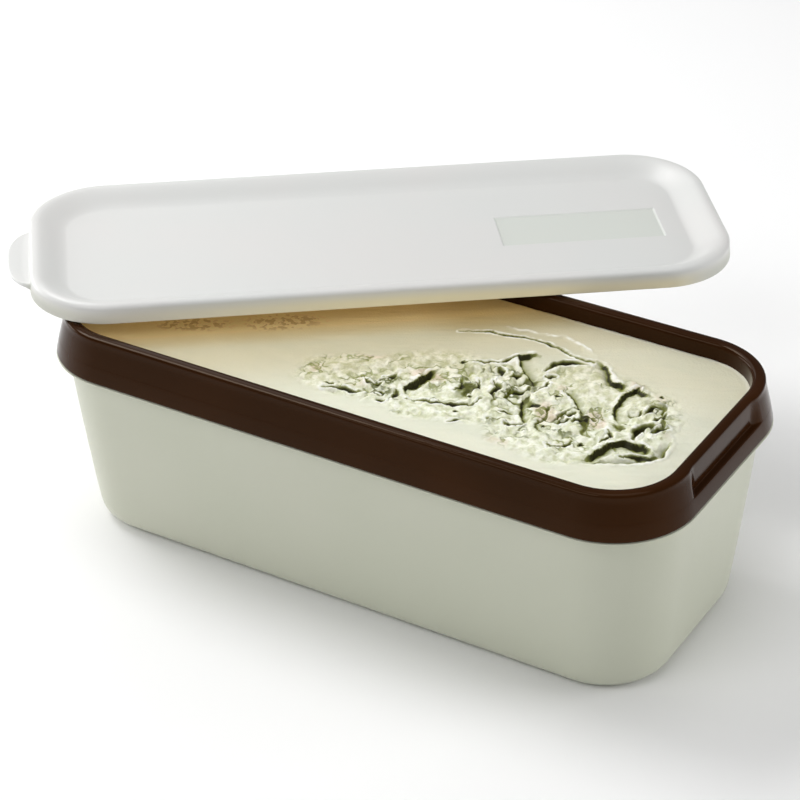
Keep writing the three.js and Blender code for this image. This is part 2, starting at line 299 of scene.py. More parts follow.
# The tub
def wall_size(height, inset, fillet, floor):
    """The tapered wall's plan at a height: straight from foot to shoulder with a slight bow,
    and drawn in below the fillet's top by a quarter circle. The bow is a parabola, highest
    half way up."""
    share = height / SHOULDER_HEIGHT
    bow = WALL_BOW * 4 * share * (1 - share)
    above = min(height - floor, fillet)
    tuck = fillet - math.sqrt(fillet ** 2 - (fillet - above) ** 2)
    grow = bow - inset - tuck
    shoulder = CREST + OFFSET * SHOULDER_OUT
    return mix(BASE, shoulder, share) + OFFSET * grow


def wall_rings(heights, inset, fillet, floor):
    """Rings of the wall at the given heights, as one grid of points."""
    grid = []
    for height in heights:
        at, _ = outline(wall_size(height, inset, fillet, floor))
        grid.append(np.concatenate([at, np.full((len(at), 1), height)], 1))
    return np.array(grid)


def tub_body():
    """The outer wall up to a fine lip under the band, the neck inside the band, and the inner
    wall down to the floor, all as rings, with a fan closing the base and the floor. Rings
    stand closest at the bottom of each rounded foot."""
    quarter = 1 - np.cos(np.linspace(0, math.pi / 2, 10))
    outer_end = SHOULDER_HEIGHT - 1.1
    inner_end = SHOULDER_HEIGHT - 8
    outer_heights = np.concatenate([
        BASE_FILLET * quarter,
        np.linspace(BASE_FILLET, outer_end, 26)[1:],
    ])
    outer = wall_rings(outer_heights, 0, BASE_FILLET, 0)
    at, out = outline(CREST)
    neck = rings(at, out, np.array([
        [SHOULDER_OUT + 0.15, SHOULDER_HEIGHT - 0.8],
        [LIP_REACH - 0.2, SHOULDER_HEIGHT - 0.5],
        [LIP_REACH, SHOULDER_HEIGHT - 0.35],
        [LIP_REACH, SHOULDER_HEIGHT - 0.15],
        [LIP_REACH - 0.2, SHOULDER_HEIGHT],
        [NECK_OUTER, SHOULDER_HEIGHT],
        [NECK_OUTER, BODY_TOP - NECK_CHAMFER],
        [NECK_OUTER - NECK_CHAMFER, BODY_TOP],
        [NECK_INNER, BODY_TOP],
        [NECK_INNER, SHOULDER_HEIGHT],
    ]))
    inner_heights = np.concatenate([
        FLOOR + INNER_FILLET * quarter,
        np.linspace(FLOOR + INNER_FILLET, inner_end, 8)[1:],
    ])[::-1]
    inner = wall_rings(inner_heights, BODY_WALL, INNER_FILLET, FLOOR)
    grid = np.concatenate([outer, neck, inner])
    rows, count = grid.shape[:2]
    last = (rows - 1) * count
    poles = np.array([[0, 0, 0], [0, 0, FLOOR]])
    vertices = np.concatenate([grid.reshape(-1, 3), poles])
    underside = fan(0, count, rows * count, False)
    inside = fan(last, count, rows * count + 1, True)
    ends = np.concatenate([underside, inside])
    return make_piece("tub", vertices, ring_faces(rows, count), ends)


def rim_band():
    """The band's closed section carried round the crest. On the short ends the upper part of
    its outside is cut back to an upright face above a ledge, by a share that fades smoothly
    from 1 to 0 along the end."""
    at, out = outline(CREST, arc=24, along=30, across=72)
    on_end = np.abs(at[:, 0]) > CREST[0] / 2 - 0.01
    fade = 1 - smooth(RECESS_HALF, RECESS_HALF + RECESS_FADE, np.abs(at[:, 1]))
    recess = np.where(on_end, fade, 0.0)

    def on_face(drop):
        """The flared face's offset at a drop: a straight line from the crest to the foot."""
        return mix(CREST_HALF, BAND_FLARE, (drop - FACE_TOP) / (FACE_FOOT - FACE_TOP))

    # Each corner: its offset, its offset where the grip is cut back, its drop and its rounding
    corners = [
        (SLOT_OUTER, SLOT_OUTER, BAND_DEPTH, 0.1),
        (BAND_FLARE, BAND_FLARE, BAND_DEPTH, 0.9),
        (on_face(LEDGE_DROP + 1.2), on_face(LEDGE_DROP + 1.2), LEDGE_DROP + 1.2, 0.2),
        (on_face(LEDGE_DROP + 0.2), on_face(LEDGE_DROP + 0.2) - 0.05, LEDGE_DROP + 0.2, 0.5),
        (on_face(LEDGE_DROP), 2.3, LEDGE_DROP, 0.5),
        (on_face(5.5), 2.1, 5.5, 0.8),
        (CREST_HALF, 1.95, FACE_TOP, 1.0),
        (CREST_HALF - 0.1, 1.75, 0, 2.2),
        (-CREST_HALF, -CREST_HALF, 0, 2.2),
        (-CREST_HALF, -CREST_HALF, INNER_DROP, 0.45),
        (SLOT_INNER, SLOT_INNER, INNER_DROP, 0.1),
        (SLOT_INNER, SLOT_INNER, SLOT_DROP, 0.1),
        (SLOT_OUTER, SLOT_OUTER, SLOT_DROP, 0.1),
    ]
    offsets = np.array([mix(plain, cut, recess) for plain, cut, _, _ in corners])
    heights = np.array([np.full(len(at), TUB_HEIGHT - drop) for _, _, drop, _ in corners])
    section = soften(np.stack([offsets, heights], 1), [corner[3] for corner in corners], 7)
    grid = rings(at, out, section)
    quads = ring_faces(grid.shape[0], grid.shape[1], closed=True)
    return make_piece("rim_band_gloss", grid.reshape(-1, 3), quads)


# The ice cream's surface
def chance(i, j, seed):
    """A steady pseudo-random value from 0 to 1 for whole numbers i and j."""
    value = np.sin(i * 127.1 + j * 311.7 + seed * 74.7) * 43758.5453
    return value - np.floor(value)


def noise(x, y, seed):
    """Smooth noise from -1 to 1: chances on whole numbers with smooth steps between them."""
    i, j = np.floor(x), np.floor(y)
    u, v = smooth(0, 1, x - i), smooth(0, 1, y - j)
    low = mix(chance(i, j, seed), chance(i + 1, j, seed), u)
    high = mix(chance(i, j + 1, seed), chance(i + 1, j + 1, seed), u)
    return mix(low, high, v) * 2 - 1


def layered(x, y, seed, layers=3):
    """Noise summed over layers, each twice as fine and half as strong as the one before."""
    return sum(noise(x * 2 ** k, y * 2 ** k, seed + k) / 2 ** k for k in range(layers))


def plates(x, y, size, seed):
    """Leaning plates, one for each cell of a jittered grid: the height of the plate whose
    centre is nearest, from -0.5 to 0.5, and how far its lean raises the point."""
    nearest = np.full(np.shape(x), np.inf)
    level = np.zeros(np.shape(x))
    lean = np.zeros(np.shape(x))
    for di in (-1, 0, 1):
        for dj in (-1, 0, 1):
            i = np.floor(x / size) + di
            j = np.floor(y / size) + dj
            east = x - (i + chance(i, j, seed)) * size
            north = y - (j + chance(i, j, seed + 1)) * size
            away = np.hypot(east, north)
            closer = away < nearest
            tilt = east * (chance(i, j, seed + 2) - 0.5) + north * (chance(i, j, seed + 3) - 0.5)
            level = np.where(closer, chance(i, j, seed + 5) - 0.5, level)
            lean = np.where(closer, tilt, lean)
            nearest = np.where(closer, away, nearest)
    return level, lean


def oval(x, y, place, half, lean):
    """Distance from an oval's centre as a share of its half sizes: 1 on its edge."""
    turn = math.radians(lean)
    along = (x - place[0]) * math.cos(turn) + (y - place[1]) * math.sin(turn)
    across = (y - place[1]) * math.cos(turn) - (x - place[0]) * math.sin(turn)
    return np.hypot(along / half[0], across / half[1])


def path_distance(path, x, y):
    """Distance to a path of straight stretches, positive on its left, and how far along the
    path the nearest point lies, from 0 to 1."""
    best = np.full(np.shape(x), np.inf)
    signed = np.zeros(np.shape(x))
    place = np.zeros(np.shape(x))
    steps = np.diff(np.array(path, float), axis=0)
    lengths = np.hypot(steps[:, 0], steps[:, 1])
    for k, step in enumerate(steps):
        east, north = x - path[k][0], y - path[k][1]
        share = np.clip((east * step[0] + north * step[1]) / lengths[k] ** 2, 0, 1)
        away = np.hypot(east - share * step[0], north - share * step[1])
        side = np.where(step[0] * north - step[1] * east < 0, -1.0, 1.0)
        closer = away < best
        signed = np.where(closer, side * away, signed)
        place = np.where(closer, (lengths[:k].sum() + share * lengths[k]) / lengths.sum(), place)
        best = np.where(closer, away, best)
    return signed, place


def nearest_oval(x, y, ovals):
    """The smallest of the distances to several ovals, each as a share of its half sizes."""
    return np.min([oval(x, y, *each) for each in ovals], 0)


# The torn zone is the union of leaning ovals: place, half sizes and lean
TORN_OVALS = [
    ((72, -6), (40, 33), 0),
    ((27, -11), (44, 25), 18),
    ((-8, -21), (27, 15), 20),
]

# Scoop marks: a path, the depth at its steep wall, and the width of the ramp that rises from
# it, to the left of the path, or to the right if negative. The wall itself is as wide as this.
MARK_WALL = 0.6
SCOOP_MARKS = [
    ([(20, 34), (30, 36), (38, 37), (44, 39), (52, 37), (60, 32)], 0.7, -5),
    ([(63, 30), (67.5, 28), (70.5, 23.5), (74, 20.5), (77.5, 19.5), (80, 21)], 2.6, -3.2),
    ([(43, 23.5), (41, 23.5), (36.5, 20), (39.5, 16), (44, 11), (48, 8), (50.5, 3.5)], 3.0, 5.5),
    ([(13.5, -23), (10.5, -20), (12, -14.5), (13, -9.5), (14.5, -3)], 4.6, -4.4),
    ([(62.5, 7), (66, 5), (71, 0), (76, -4.5)], 2.8, 3.0),
    ([(50.5, -4), (54, -11.5), (59, -18.5)], 3.4, 2.4),
    ([(88, -2), (84, 2), (82.5, 8), (82, 15), (84, 21), (91, 17)], 2.8, -5),
    ([(88.5, -30.5), (90.5, -24), (92.5, -18), (96, -14), (102, -12.5), (107, -15)], 4.2, -6),
    ([(89, -31), (94, -28.5), (102, -24.5), (107, -21), (111, -15), (110, -6)], 3.4, 3.2),
]

# Narrow cracks: a path, and the depth and half the width at the middle of its length
CRACKS = [
    ([(-14, -35.5), (-10.5, -32.5), (-5, -33), (-1, -31)], 2.4, 1.0),
    ([(-18, -32.5), (-13.5, -30)], 1.0, 0.6),
    ([(-4, -23), (-1, -25), (1.5, -24), (2.5, -21)], 2.0, 0.9),
    ([(0.5, -18.5), (3, -17), (3.5, -12.5)], 1.6, 0.9),
    ([(2.5, -29.5), (4.5, -27), (8, -28)], 1.5, 0.8),
    ([(7, -34), (9, -31.5)], 1.3, 0.8),
    ([(8.5, -23), (11, -26.5), (11.5, -30)], 1.6, 0.9),
    ([(16, -27), (22, -24), (24.5, -24), (28, -22), (34, -20.5), (37, -18.5), (39, -13.5)],
     2.4, 0.9),
    ([(36, -33), (38.5, -28.5)], 1.5, 0.8),
    ([(8, 25), (18.5, 29.5), (27, 31.5), (34, 33), (41, 33.3), (49, 31), (56, 29), (62, 30)],
     2.2, 0.9),
    ([(22, 5), (28, 8), (29, 10.5), (34, 13.5), (35.5, 20)], 1.9, 0.8),
    ([(50, 5), (49.5, 0), (47, -3.5), (43, -4)], 2.2, 1.0),
    ([(52, 1), (54.5, 4.5), (53.5, 10)], 1.6, 0.8),
    ([(51.5, 12), (54.5, 14.5)], 2.2, 1.1),
    ([(49.5, 16), (50.5, 21), (52.5, 24), (57.5, 26), (62, 27)], 2.8, 1.3),
    ([(74, -4), (77, -5.5), (81, -6)], 1.6, 0.9),
    ([(67, -8), (71.5, -7.5), (72.5, -4.5)], 2.0, 0.9),
    ([(73.5, -10), (76.5, -7), (79.5, -8)], 2.0, 0.9),
    ([(70, -15), (72.5, -9.5)], 1.8, 0.8),
    ([(48, -17), (53, -15.5)], 1.8, 0.8),
    ([(53.5, -23.5), (59.5, -19.5)], 2.4, 1.1),
    ([(33.5, 8.5), (36, 6.5), (38, 2.5)], 1.8, 0.9),
    ([(41, 4), (43.5, 9)], 2.0, 1.4),
    ([(26, -5), (28, -9), (27, -13)], 1.4, 0.7),
    ([(31, -2), (33.5, -7), (32.5, -12)], 1.8, 0.8),
    ([(37, 0), (41, -3), (40, -8), (44, -11)], 1.9, 0.9),
    ([(73.5, -29), (78, -26), (80, -21.5)], 1.6, 0.8),
    ([(94, 6.5), (94.5, 13), (98, 14)], 2.4, 1.2),
    ([(98, 3.5), (101, 7.5), (100.5, 11)], 1.8, 0.9),
    ([(97.5, -10), (96, -4), (98.5, 1), (101, 1.5)], 3.0, 1.8),
    ([(102, -3), (105.5, 1)], 2.6, 1.5),
    ([(98, -22.5), (100.6, -21.3), (104.8, -19.7), (108.1, -17.5), (109.5, -14.8)], 2.2, 1.0),
    ([(87, -8), (90, -12), (88, -17)], 1.6, 0.8),
]

# Small round holes: place, radius and depth
HOLES = [
    ((34.5, -25), 0.8, 1.5), ((33.5, -14), 0.8, 1.5), ((21, 5), 0.7, 1.2), ((62.5, 0.5), 1.0, 1.8),
    ((57, -7), 1.1, 1.8), ((94, 19), 0.8, 1.3), ((66, -18), 0.7, 1.2), ((83, -22), 0.8, 1.4),
]

# The blade's streaks on the calm cream run at this angle to the tub's long sides
STREAK_TURN = 30.66

# Patches of fine rubble: place, half sizes and lean
RUBBLE = [
    ((72, -8), (11, 9), 0),
    ((3, -24), (11, 9), 15),
    ((40, -2), (16, 13), 0),
    ((98, 6), (9, 18), -12),
    ((62, -22), (18, 7), 20),
]

# Roughened patches beside the lid: place, half sizes and lean
ROUGH_PATCHES = [
    ((-80, -21), (15, 5), 33),
    ((-53, -3), (15, 6), 35),
]


def torn_share(x, y):
    """1 inside the torn zone and 0 outside, with a ragged edge."""
    share = nearest_oval(x, y, TORN_OVALS)
    return 1 - smooth(0.78, 1.06, share + 0.10 * noise(x / 9, y / 9, 5))


def rubble_share(x, y):
    """1 in the patches of fine rubble and 0 outside, with a ragged edge."""
    share = nearest_oval(x, y, RUBBLE)
    return 1 - smooth(0.7, 1.15, share + 0.15 * noise(x / 4, y / 4, 31))


def winding(x, y, size, seed, half):
    """Winding cracks: 1 along the lines where a smooth noise is zero and 0 at half the width
    away from them, only where a wider noise is high."""
    away = np.abs(noise(x / size, y / size, seed)) * size / 2.2
    present = smooth(0.0, 0.4, noise(x / size / 1.6, y / size / 1.6, seed + 1))
    return smooth(1, 0.2, away / half / (0.4 + 0.6 * present)) * smooth(0, 0.3, present)


def scoop_mark(x, y, path, depth, ramp):
    """A scoop mark's cut, painted shade and lip. The cut is deepest on the path, comes up along the
    wall behind it and the ramp before it, and fades towards both ends. The painted shade is
    darkest on the wall, and quickly turns lighter up the ramp. The lip is a ridge beyond the
    wall's top."""
    signed, place = path_distance(path, x, y)
    beyond = signed * math.copysign(1, ramp)
    run = beyond / abs(ramp)
    taper = 0.3 + 0.7 * smooth(0, 0.15, place) * smooth(1, 0.85, place)
    share = np.where(beyond >= 0, 1 - run, 1 + beyond / MARK_WALL)
    cut = 0.6 * depth * taper * np.clip(share, 0, 1)
    # Painted shade: darkest on the wall, then fading up the ramp
    ramp_shade = np.maximum(1 - run / 0.18, 0.42 * (1 - run / 0.9))
    shaded = np.where(beyond >= 0, ramp_shade, 1 + (beyond + MARK_WALL) / 0.4)
    cut_shade = np.clip(shaded, 0, 1) * taper * smooth(0.3, 2.6, depth)
    return cut, cut_shade, np.exp(-((beyond + 1.9) / 0.8) ** 2) * taper


def crack(x, y, path, depth, half):
    """A crack's cut, painted shade and lips. Its width and depth are a half sine over its length,
    widest in the middle. Both sides are steep, with painted shade between them, and a ridge runs
    along each."""
    signed, place = path_distance(path, x, y)
    share = 0.8 * (0.35 + 0.65 * np.sin(math.pi * np.clip(place, 0.03, 0.97)))
    away = np.abs(signed) / (share * half)
    cut = 0.8 * depth * share * np.clip(1.25 - away, 0, 1)
    # Painted shade inside the crack
    cut_shade = smooth(1.75, 0.6, away) * (0.35 + 0.8 * share)
    return cut, cut_shade, np.exp(-((np.abs(signed) - 1.4 * share * half - 0.6) / 0.55) ** 2)


def hole(x, y, place, radius, depth):
    """A small round hole's cut and painted shade. It has no lip."""
    away = np.hypot(x - place[0], y - place[1]) / radius
    # The second value is the painted shade inside the hole
    return depth * np.clip(1.2 - away, 0, 1), smooth(1.5, 0.9, away), 0.0


def cream_relief(x, y):
    """The surface's height against its level, and two shares from 0 to 1: how deep the painted
    shade inside a cut is, and how far a point stands on a cut's lip, where the material paints a
    highlight. Soft lumps, leaning plates and flakes stand on the torn zone, with fine winding
    cracks between. Scoop marks, cracks and holes cut into it, the deepest counting at each point,
    along paths that noise makes ragged. Outside the zone a blade's streaks run one way."""
    torn = torn_share(x, y)
    rubble = rubble_share(x, y)
    warp_x = x + 0.7 * noise(x / 3.1, y / 3.1, 21) + 0.3 * noise(x / 1.2, y / 1.2, 22)
    warp_y = y + 0.7 * noise(x / 3.1, y / 3.1, 23) + 0.3 * noise(x / 1.2, y / 1.2, 24)
    level, lean = plates(warp_x, warp_y, 9, 1)
    lumps = 0.6 * noise(x / 8, y / 6, 8) + 0.46 * layered(warp_x / 3.3, warp_y / 2.6, 9)
    flakes = 0.75 * noise(warp_x / 2.0, warp_y / 1.7, 41) + 0.3 * noise(warp_x, warp_y, 43)
    surface = 0.55 * level + 0.13 * lean + lumps + (0.4 + 0.6 * rubble) * flakes
    calm = 0.25 * noise(x / 34, y / 13, 7)
    turn = math.radians(STREAK_TURN)
    along = x * math.cos(turn) + y * math.sin(turn)
    across = y * math.cos(turn) - x * math.sin(turn)
    streaks = 0.10 * noise(along / 16, across / 1.7, 51) + 0.07 * noise(along / 7, across / 0.9, 52)
    fine = winding(warp_x, warp_y, 6.0, 61, 0.6) * (0.35 + 0.65 * rubble)
    cut = 1.2 * torn * fine
    # Painted shade in the fine winding cracks
    cut_shade = 0.7 * torn ** 2 * smooth(0.1, 0.7, fine)
    lip = np.zeros(np.shape(x))
    marks = [scoop_mark(warp_x, warp_y, *mark) for mark in SCOOP_MARKS]
    marks += [crack(warp_x, warp_y, *mark) for mark in CRACKS]
    marks += [hole(warp_x, warp_y, *mark) for mark in HOLES]
    for mark_cut, mark_shade, mark_lip in marks:
        cut = np.maximum(cut, mark_cut)
        cut_shade = np.maximum(cut_shade, mark_shade)
        lip = np.maximum(lip, mark_lip)
    lip = lip * (1 - cut_shade)
    height = calm + torn * surface + (1 - torn) * streaks + 0.35 * lip - cut
    return height, cut_shade, lip


def blurred(values, passes):
    """Repeated averages of each value with its four neighbours, which count as one each where
    the value itself counts as two."""
    for _ in range(passes):
        padded = np.pad(values, 1, mode="edge")
        values = (padded[:-2, 1:-1] + padded[2:, 1:-1] + padded[1:-1, :-2] + padded[1:-1, 2:]
                  + 2 * values) / 6
    return values


def add_masks(piece, name, *masks):
    """Up to four masks as one colour attribute on the piece's first points, and 0 elsewhere."""
    colours = np.zeros((len(piece.data.vertices), 4), np.float32)
    for k, mask in enumerate(masks):
        colours[:mask.size, k] = mask.ravel()
    attribute = piece.data.attributes.new(name, "FLOAT_COLOR", "POINT")
    attribute.data.foreach_set("color", colours.ravel())


def lid_frame(x, y):
    """Where a point of the level plane lies in the lid's own length and width."""
    turn = math.radians(LID_TURN)
    east, north = x - LID_CENTRE[0], y - LID_CENTRE[1]
    along = east * math.cos(turn) + north * math.sin(turn)
    across = north * math.cos(turn) - east * math.sin(turn)
    return along, across


def mask_cream(piece, x, y, relief, cut_shade, lip):
    """The masks that the cream's material reads. Sunken is how far a point lies below its
    blurred surroundings, where painted shade goes. Covered rises under the lid's near edge, for
    a painted warm shade, shaded and deep mark painted shade in the lid's wider shade, shaded
    also darker towards the tub's back, and near_wall marks a painted highlight beside the band.
    Rough marks the patches beside the lid, and lively the torn zone with a margin."""
    half_length, half_width, corner = halves(CREAM_TOP)
    torn = torn_share(x, y)
    # Sunken sets where painted olive shade lies in the hollows
    sunken = smooth(0.15, 2.4, blurred(relief, 40) - relief + 0.35 * np.clip(-relief, 0, 9))
    add_masks(piece, "cream_relief", sunken, cut_shade, lip, torn)
    along, across = lid_frame(x, y)
    under = across + LID[1] / 2
    # Where the material paints a warm shade under the lid's near edge
    covered = smooth(-11, 5, under)
    beside = np.hypot(np.maximum(np.abs(x) - half_length + corner, 0),
                      np.maximum(np.abs(y) - half_width + corner, 0))
    # Where a painted highlight runs along the cream beside the band
    near_wall = smooth(2.4, 0.4, corner - beside)
    # Painted shade: darker towards the tub's back
    back = 0.55 * smooth(-15, 32, y - 0.2 * (x - 60))
    shaded = np.maximum(smooth(-56, -12, under), back)
    # Painted shade: darker beside the lid's near edge further along it
    deep = smooth(5, 32, along) * smooth(-18, -5, under)
    add_masks(piece, "cream_place", covered, near_wall, shaded, deep)
    patch = nearest_oval(x, y, ROUGH_PATCHES)
    rough = smooth(1.15, 0.6, patch + 0.2 * noise(x / 6, y / 6, 53))
    lively = smooth(1.5, 0.8, nearest_oval(x, y, TORN_OVALS))
    add_masks(piece, "cream_grain", rough, lively, rubble_share(x, y) * torn)


def ice_cream():
    """The top is a grid of rows across the tub, each as long as the round-cornered outline is
    there, raised to the surface's height. Its border drops as rings down the tub's wall to a
    base that a fan closes."""
    half_length, half_width, _ = halves(CREAM_TOP)
    columns = spread(GRID_COLUMNS, half_length, ZONE_X, ZONE_COLUMNS)
    rows = spread(GRID_ROWS, half_width, ZONE_Y, ZONE_ROWS)
    x, y = filled_outline(columns, rows, CREAM_TOP)
    relief, cut_shade, lip = cream_relief(x, y)
    top = np.stack([x, y, TUB_HEIGHT - CREAM_DROP + relief], 2)
    index, quads = grid_faces(top)
    rim = border_of(index)
    rim_at = border_of(top)[:, :2]
    side = []
    for height in (70.0, 40.0, 8.0, FLOOR + GAP):
        plan = wall_size(height, BODY_WALL + GAP, INNER_FILLET, FLOOR + GAP)
        scale = plan[:2] / CREAM_TOP[:2]
        side.append(np.column_stack([rim_at * scale, np.full(len(rim), height)]))
    count = len(rim)
    pole = index.size + len(side) * count
    loops = np.concatenate([rim, np.arange(index.size, pole)]).reshape(-1, count)
    after = np.roll(loops, -1, 1)
    walls = np.stack([loops[1:], after[1:], after[:-1], loops[:-1]], 2)
    vertices = np.concatenate([top.reshape(-1, 3), *side, [[0, 0, FLOOR + GAP]]])
    faces = np.concatenate([quads, walls.reshape(-1, 4)])
    piece = make_piece("ice_cream_torn", vertices, faces, fan(pole - count, count, pole, False))
    mask_cream(piece, x, y, relief, cut_shade, lip)
    return piece


# The lid
def lid_place(points):
    """Tips the lid about its long axis, turns it about the upright and sets it on the rim."""
    tilt = Matrix.Rotation(math.radians(LID_TILT), 3, "X")
    turn = Matrix.Rotation(math.radians(LID_TURN), 3, "Z")
    return points @ np.array(turn @ tilt).T + LID_CENTRE


def lid_surface():
    """The lid's outer section from the skirt's top over the crest and down the slope: insets
    from the edge and heights. The shoulder is a quarter of an ellipse, and the slope a smooth
    step down to the panel."""
    angle = np.linspace(0, math.pi / 2, SHOULDER_STEPS)
    shoulder_inset = mix(LID_CREST_INSET, SKIRT_DRAFT, np.cos(angle))
    shoulder_height = mix(LID_SKIRT, LID_HEIGHT, np.sin(angle))
    share = np.linspace(0.03, 1, SLOPE_STEPS)
    slope_inset = mix(LID_CREST_INSET, LID_SLOPE_END, share)
    slope_height = LID_HEIGHT - LID_RECESS * smooth(0, 1, share)
    inset = np.concatenate([shoulder_inset, slope_inset])
    return inset, np.concatenate([shoulder_height, slope_height])


def lid_skirt(tab):
    """The skirt's rows from its lower edge up, as offsets and heights for each point of the
    outline, where the tab reaches out by the given lengths. On the tab the rows run out along
    its underside, round its nose by a half circle, and back along its top. Elsewhere they are
    spread evenly, drawn in with height by the draft."""
    below = np.array([0.25, 0.5, 1.2, TAB_LOW])
    above = np.array([TAB_HIGH + 0.35, 4.2, 4.8])
    middle = (TAB_LOW + TAB_HIGH) / 2
    half = (TAB_HIGH - TAB_LOW) / 2
    bend = np.linspace(-math.pi / 2, math.pi / 2, 9)
    reach = np.concatenate([0 * below, [0.5], 1 + 0 * bend, [0.5, 0.12], 0 * above])
    nose = np.concatenate([0 * below, [0], 0.55 * np.cos(bend), [0, 0], 0 * above])
    tall = np.concatenate([below, [TAB_LOW], middle + half * np.sin(bend), [TAB_HIGH] * 2, above])
    shift = np.minimum(tab, 1.0)
    even = np.linspace(tall[0], tall[-1], len(tall))
    tall = mix(even[:, None], tall[:, None], shift)
    draft = SKIRT_DRAFT * tall / LID_SKIRT
    return np.stack([reach[:, None] * tab + nose[:, None] * shift - draft, tall], 1)


def lid_shell():
    """Rings from the underside's inner edge out to the skirt, round the pull tab, over the
    crest and down the slope. The sunk panel inside is a grid with the label recess in it, and
    its underside a fan. The tab is a flange of the skirt whose reach is a rounded hump. Masks
    mark the skirt's lower part on the near side, for painted bounce light, and on the short
    ends, for painted shade, and the label."""
    at, out = outline(LID, arc=28, along=60, across=70)
    count = len(at)

    def all_round(offset, height):
        """Rows of a section that is the same at every point of the outline."""
        return np.stack([offset, height], 1)[..., None] * np.ones(count)

    on_tab = at[:, 0] < -LID[0] / 2 + 0.01
    across = (at[:, 1] - TAB_SHIFT) / (TAB_WIDTH / 2)
    hump = np.clip(1 - np.abs(across) ** 2.6, 0, 1) ** 0.62
    tab = np.where(on_tab, TAB_REACH * hump, 0.0)
    inset, height = lid_surface()
    under_inset = np.maximum(inset, LID_WALL + SKIRT_DRAFT)
    under = all_round(-under_inset[::-1], height[::-1] - LID_WALL)
    edge = all_round(np.array([-LID_WALL, -LID_WALL + 0.3, -0.3, -0.08]),
                     np.array([0.25, 0.0, 0.0, 0.08]))
    skirt = lid_skirt(tab)
    grid = rings(at, out, np.concatenate([under, edge, skirt, all_round(-inset, height)]))
    panel, panel_quads, loop, label = lid_panel()
    first = grid.shape[0] * count
    under_pole = np.array([[0, 0, LID_HEIGHT - LID_RECESS - LID_WALL]])
    vertices = np.concatenate([grid.reshape(-1, 3), panel, under_pole])
    bottom = fan(0, count, first + len(panel), False)
    seam = stitch(first - count + np.arange(count), vertices[:, :2], first + loop)
    quads = np.concatenate([ring_faces(grid.shape[0], count), panel_quads + first])
    piece = make_piece("lid_moulded", lid_place(vertices), quads, np.concatenate([bottom, seam]))
    low = np.zeros(grid.shape[:2])
    outside = slice(len(under), len(under) + len(edge) + len(skirt) + SHOULDER_STEPS)
    low[outside] = smooth(LID_HEIGHT - 0.7, 1.5, grid[outside, :, 2])
    # Painted bounce light: the beige share low on the skirt's near side
    near = low * np.clip(-out[:, 1], 0, 1) * (0.4 + 0.6 * smooth(-100, 0, at[:, 0]))
    near = near * (1 - 0.8 * smooth(0.1, 0.7, out[:, 0]))
    # Painted shade: the grey share low on the short ends, but not on the tab
    ends = low * np.abs(out[:, 0]) * (1 - np.minimum(tab, 1.0))
    inside = np.concatenate([np.zeros(low.size), label.ravel()])
    add_masks(piece, "lid_places", near, ends, inside)
    return piece


def lid_panel():
    """A grid over the panel with the label's recess sunk in it by a smooth step, its lines
    close together at the recess's edges. Returns its points, its quads, the numbers of its
    border's points, and how deep each point lies as a share of the recess."""
    size = LID - OFFSET * (LID_SLOPE_END + PANEL_SEAM)
    half_length, half_width, _ = halves(size)
    low = LABEL_PLACE - LABEL_SIZE / 2
    high = LABEL_PLACE + LABEL_SIZE / 2
    fine = np.linspace(-1.0, 1.0, 11)
    columns = np.sort(np.concatenate([np.linspace(-half_length, half_length, 60),
                                      low[0] + fine, high[0] + fine]))
    rows = half_width * np.sin(np.linspace(-math.pi / 2, math.pi / 2, 40))
    rows = np.sort(np.concatenate([rows, low[1] + fine, high[1] + fine]))
    x, y = filled_outline(columns, rows, size)
    away = np.maximum(np.abs(x - LABEL_PLACE[0]) - LABEL_SIZE[0] / 2,
                      np.abs(y - LABEL_PLACE[1]) - LABEL_SIZE[1] / 2)
    label = smooth(LABEL_EDGE, -LABEL_EDGE, away)
    points = np.stack([x, y, LID_HEIGHT - LID_RECESS - LABEL_DEPTH * label], 2)
    index, quads = grid_faces(points)
    return points.reshape(-1, 3), quads, border_of(index), label


def stitch(outer, plan, inner):
    """Triangles between two counter-clockwise loops, walking both by their angle about the
    middle, so that a ring and a grid's border of other counts close without a gap."""
    def by_angle(loop):
        angle = np.arctan2(plan[loop, 1], plan[loop, 0])
        start = int(np.argmin(angle))
        order = np.roll(loop, -start)
        return order, np.unwrap(np.roll(angle, -start))

    a, angle_a = by_angle(outer)
    b, angle_b = by_angle(inner)
    angle_a = np.append(angle_a, angle_a[0] + 2 * math.pi)
    angle_b = np.append(angle_b, angle_b[0] + 2 * math.pi)
    faces = []
    i = j = 0
    while i < len(a) or j < len(b):
        if j == len(b) or (i < len(a) and angle_a[i + 1] <= angle_b[j + 1]):
            faces.append((a[i % len(a)], a[(i + 1) % len(a)], b[j % len(b)]))
            i += 1
        else:
            faces.append((a[i % len(a)], b[(j + 1) % len(b)], b[j % len(b)]))
            j += 1
    return np.array(faces)


# Materials
def new_group(name, inputs, outputs):
    """A shader node group with named sockets. Returns the group, its input and its output."""
    group = bpy.data.node_groups.new(name, "ShaderNodeTree")
    kinds = {"colour": "NodeSocketColor", "value": "NodeSocketFloat", "vector": "NodeSocketVector"}
    for label, kind in inputs.items():
        group.interface.new_socket(label, in_out="INPUT", socket_type=kinds[kind])
    for label, kind in outputs.items():
        group.interface.new_socket(label, in_out="OUTPUT", socket_type=kinds[kind])
    return group, group.nodes.new("NodeGroupInput"), group.nodes.new("NodeGroupOutput")


def link(tree, source, target):
    tree.links.new(source, target)


